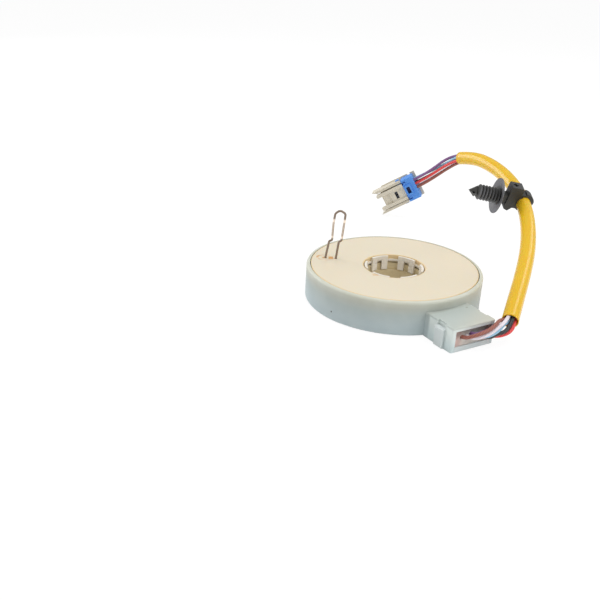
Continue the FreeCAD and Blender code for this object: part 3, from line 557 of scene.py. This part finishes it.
wire_colours = {
    "brown": (colour(136, 76, 64), colour(172, 108, 94)),
    "white": (colour(226, 216, 226), colour(240, 234, 240)),
    "violet": (colour(112, 72, 122), colour(152, 112, 162)),
    "blue": (colour(132, 184, 214), colour(164, 206, 228)),
    "black": (colour(22, 23, 26), colour(66, 67, 70)),
    "red": (colour(214, 48, 50), colour(242, 90, 88)),
}
jacket_lay = 620
jacket_strands = 5
for index, name in enumerate(wire_levels):
    side = (index - (len(wire_levels) - 1) / 2) * wire_pitch
    points = [Vector((end, side, wire_levels[name])) for end in wire_ends]
    points += [Vector(p) for p in block_side_route[name]]
    points += through_sleeve(ring_places[name])
    points += [Vector(p) for p in connector_side_route[name]]
    row, column = wire_ways[name]
    way_side = (column - (ways_in_row - 1) / 2) * way_pitch
    points += [in_connector(reach, way_side, way_level + row * way_row_offset)
               for reach in wire_in_connector]
    line = smooth_line("wire " + name, points)
    wire = tube("wire_jacket_" + name, line, wire_diameter / 2, 16)
    jacket = Finish("wire covering " + name, Roughness=0.38)
    turn, reach, _ = jacket.split(jacket.along_surface)
    lay = ((turn * jacket_strands + reach * jacket_lay) * 2 * math.pi).wave() * 0.5 + 0.5
    dark, light = wire_colours[name]
    jacket.feed("Base Color", jacket.mix(lay * 0.7 + jacket.noise(300.0) * 0.3, dark, light))
    jacket.bump(lay, 0.00006, 0.6)
    wire.data.materials.append(jacket.material)
    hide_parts("wire_" + name)
    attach(wire, "housing")


# Sleeve: a soft glossy tube in yellow vinyl, cut square, slid over the six wires.

vinyl = Finish("yellow vinyl", Subsurface_Weight=0.25, Subsurface_Radius=(1.0, 0.4, 0.06),
               Subsurface_Scale=0.0015)
vinyl.paint(60.0, colour(232, 180, 26), colour(240, 192, 40), detail=3.0)
vinyl.feed("Roughness", vinyl.noise(120.0, 3.0) * 0.08 + 0.17)
vinyl.bump(vinyl.noise(160.0, 1.0), 0.00003, 0.2)
sleeve_line = smooth_line("sleeve", [Vector(p) for p in sleeve_route])
sleeve_diameter = 0.007
sleeve_wall = 0.00035
sleeve = tube("vinyl_sleeve", sleeve_line, sleeve_diameter / 2, 40,
              bore=sleeve_diameter / 2 - sleeve_wall)
sleeve.data.materials.append(vinyl.material)
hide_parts("yellow_sleeve")
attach(sleeve, "housing")


# Tie: strap, head, dished washer and finned stem, one moulding in dark heat-stable nylon.
# The stem is pushed into a hole in the car's body and its fins hold it there.

dark_nylon = Finish("dark nylon")
tie_place = (-0.00615, 0.07975, 0.0339)
stem_heading = (-0.4922, -0.8463, 0.2031)
up_stem = dark_nylon.along(tie_place, stem_heading)
off_centre = dark_nylon.reach(tie_place)
off_stem = (off_centre * off_centre - up_stem * up_stem).most(0.0) ** 0.5
# Painted sheen: the washer is painted lighter, as its thin face catches the light.
washer_sheen = off_stem.step(0.0042, 0.0052) * up_stem.step(0.0095, 0.0105)
nylon_colour = dark_nylon.mix(dark_nylon.noise(250.0, 3.0), colour(44, 44, 43), colour(62, 62, 60))
dark_nylon.feed("Base Color", dark_nylon.mix(washer_sheen, nylon_colour, colour(104, 104, 108)))
dark_nylon.feed("Roughness", dark_nylon.noise(500.0, 2.0) * 0.2 + 0.34)
dark_nylon.bump(dark_nylon.noise(1200.0, 3.0), 0.00005, 0.6)
dress("fir_tree_tie", dark_nylon)


# Connector: a cream housing with guide rails, six contacts in it and a blue lock that slides in
# at its wire end and keeps the contacts from backing out.

connector_plastic = Finish("connector plastic")


def window_shade(finish, middle, length, width, face):
    """Painted shade for a connector window: 1 in its outline anywhere below its face, 0 elsewhere.
    """
    start = tuple(c / 1000 for c in connector_place)
    edge = 0.0001
    in_length = (finish.along(start, tuple(connector_along)) - middle).size()
    in_length = in_length.step(length / 2 + edge, length / 2 - edge)
    in_width = finish.along(start, tuple(connector_across)).size()
    in_width = in_width.step(width / 2 + edge, width / 2 - edge)
    below_face = finish.along(start, tuple(connector_through)).step(face, face - 2 * edge)
    return in_length * in_width * below_face


cream_noise = connector_plastic.noise(200.0, 3.0)
cream_plastic = connector_plastic.mix(cream_noise, colour(208, 200, 182), colour(222, 215, 198))
# Painted shade: the window in the housing's top is painted dark navy, and the same dark patch also
# falls on the housing's far face, where there is no window.
painted_window_shade = window_shade(connector_plastic, 0.0110, 0.0018, 0.0042, 0.0079)
cream_plastic = connector_plastic.mix(painted_window_shade, cream_plastic, colour(24, 30, 48))
connector_plastic.feed("Base Color", cream_plastic)
connector_plastic.feed("Roughness", connector_plastic.noise(400.0) * 0.15 + 0.4)
connector_plastic.bump(connector_plastic.noise(900.0), 0.00004, 0.5)
dress("connector_housing", connector_plastic)

# Painted shade: the contacts are painted dark grey, as they sit in the shade inside the windows.
painted_shade_tin = Finish("tin in painted shade", Metallic=1.0, Roughness=0.45)
painted_shade_tin.paint(500.0, colour(70, 72, 80), colour(92, 94, 100))
dress("connector_terminals", painted_shade_tin)

lock_blue = Finish("blue lock plastic")
blue_plastic = lock_blue.mix(lock_blue.noise(200.0, 3.0), colour(70, 136, 222), colour(92, 156, 236))
# Painted shade: the lock's window is painted dark blue.
painted_window_shade = window_shade(lock_blue, 0.00325, 0.0021, 0.0039, 0.0096)
lock_blue.feed("Base Color", lock_blue.mix(painted_window_shade, blue_plastic, colour(20, 40, 96)))
lock_blue.feed("Roughness", lock_blue.noise(400.0) * 0.15 + 0.35)
lock_blue.bump(lock_blue.noise(900.0), 0.00004, 0.5)
dress("terminal_lock", lock_blue)


# Floor, light and camera, as in a small photo tent. None of it is part of the object.

def backdrop_finish():
    """Pale card that also glows a little where the camera sees it, so it stays evenly white."""
    finish = Finish("backdrop", Base_Color=colour(250, 250, 250), Roughness=0.9,
                    Specular_IOR_Level=0.0)
    path = finish.tree.nodes.new("ShaderNodeLightPath")
    seen = Value(finish, path.outputs["Is Camera Ray"])
    seen = seen.most(Value(finish, path.outputs["Is Glossy Ray"]))
    seen = seen.most(Value(finish, path.outputs["Is Transmission Ray"]))
    glow = finish.node("Emission", None, Color=(1, 1, 1), Strength=1.06)
    card = Value(finish, finish.shader.outputs[0])
    mixed = finish.node("MixShader", None, seen * 0.85, card, glow)
    finish.link(finish.tree.nodes["Material Output"].inputs["Surface"], mixed)
    return finish


floor_mesh = bpy.data.meshes.new("floor")
floor_half = 3.0
floor_drop = 0.0002
floor_corners = [(-floor_half, -floor_half, -floor_drop), (floor_half, -floor_half, -floor_drop),
                 (floor_half, floor_half, -floor_drop), (-floor_half, floor_half, -floor_drop)]
floor_mesh.from_pydata(floor_corners, [], [(0, 1, 2, 3)])
floor = bpy.data.objects.new("floor", floor_mesh)
floor_mesh.materials.append(backdrop_finish().material)
bpy.context.scene.collection.objects.link(floor)

world = bpy.data.worlds.new("photo tent")
bpy.context.scene.world = world
world.use_nodes = True
sky = world.node_tree
background = sky.nodes["Background"]
light_path = sky.nodes.new("ShaderNodeLightPath")
background.inputs["Color"].default_value = (1, 1, 1, 1)
seen_strength = sky.nodes.new("ShaderNodeMix")
seen_strength.data_type = "FLOAT"
light_strength, camera_strength = seen_strength.inputs[2], seen_strength.inputs[3]
light_strength.default_value = 0.48
camera_strength.default_value = 1.0
sky.links.new(light_path.outputs["Is Camera Ray"], seen_strength.inputs[0])
sky.links.new(seen_strength.outputs[0], background.inputs["Strength"])


def lamp(name, place, aim, size, power):
    light = bpy.data.lights.new(name, "AREA")
    light.shape = "RECTANGLE"
    light.size, light.size_y = size
    light.energy = power
    holder = bpy.data.objects.new(name, light)
    holder.location = place
    heading = Vector(aim) - Vector(place)
    holder.rotation_euler = heading.to_track_quat("-Z", "Y").to_euler()
    bpy.context.scene.collection.objects.link(holder)


lamp("tent top", (0.1, 0.1, 0.9), (0, 0.03, 0), (0.9, 0.9), 3.7)
lamp("tent right", (0.75, 0.25, 0.45), (0, 0.03, 0.02), (0.5, 0.6), 1.8)
lamp("tent back", (-0.09, 0.66, 0.68), (0.03, 0.06, 0.02), (0.2, 0.6), 0.9)
lamp("tent left", (-0.72, -0.34, 0.3), (0, 0.0, 0.01), (0.6, 0.5), 3.2)

camera_data = bpy.data.cameras.new("camera")
camera_data.sensor_width = 36.0
camera_data.lens = 46.8
camera = bpy.data.objects.new("camera", camera_data)
turn, tilt, roll = (math.radians(a) for a in (59.18, 24.63, 2.71))
level = Vector((math.cos(turn), math.sin(turn), 0))
ahead = Vector((-math.sin(turn), math.cos(turn), 0)) * math.cos(tilt)
ahead -= Vector((0, 0, 1)) * math.sin(tilt)
upright = level.cross(ahead)
right = level * math.cos(roll) + upright * math.sin(roll)
top = upright * math.cos(roll) - level * math.sin(roll)
axes = Matrix((right, top, -ahead)).transposed().to_4x4()
camera.matrix_world = Matrix.Translation((0.2576, -0.2019, 0.1448)) @ axes
bpy.context.scene.collection.objects.link(camera)
bpy.context.scene.camera = camera
bpy.context.scene.view_settings.view_transform = "Standard"
